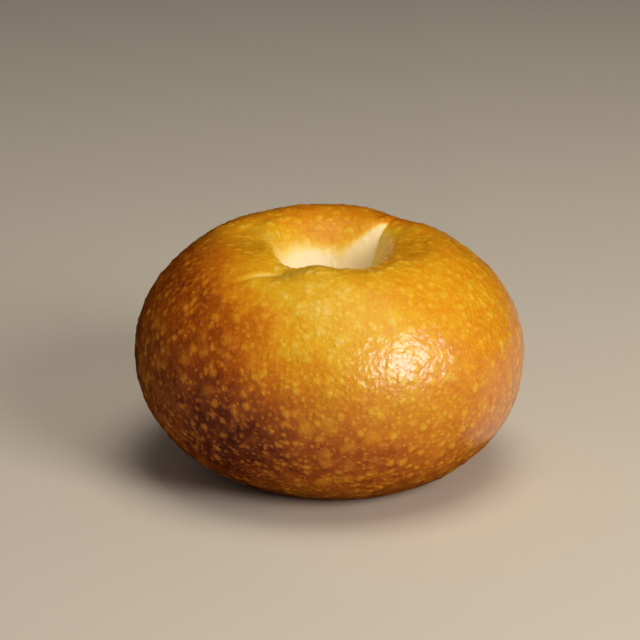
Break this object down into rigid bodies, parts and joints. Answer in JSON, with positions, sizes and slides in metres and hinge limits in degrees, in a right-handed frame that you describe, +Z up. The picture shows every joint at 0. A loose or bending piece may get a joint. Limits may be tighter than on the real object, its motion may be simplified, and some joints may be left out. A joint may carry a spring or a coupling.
{
  "type": "bagel",
  "caption": "Plump baked ring of dough with a nearly closed eye under a wide crater, a seam over the crown and a small flat base that it rests on.",
  "frame": {"origin": "middle of the bagel's box, on the surface that it rests on", "axes": "+Z up along the eye of the ring, +X to the right and +Y to the back, with the seam at the back right"},
  "size_m": [0.1026, 0.0998, 0.0647],
  "materials": {
    "crust": "baked golden-brown crust with pale blisters, soft sheen"
  },
  "bodies": {
    "root": {"bagel": "crust"}
  },
  "joints": []
}
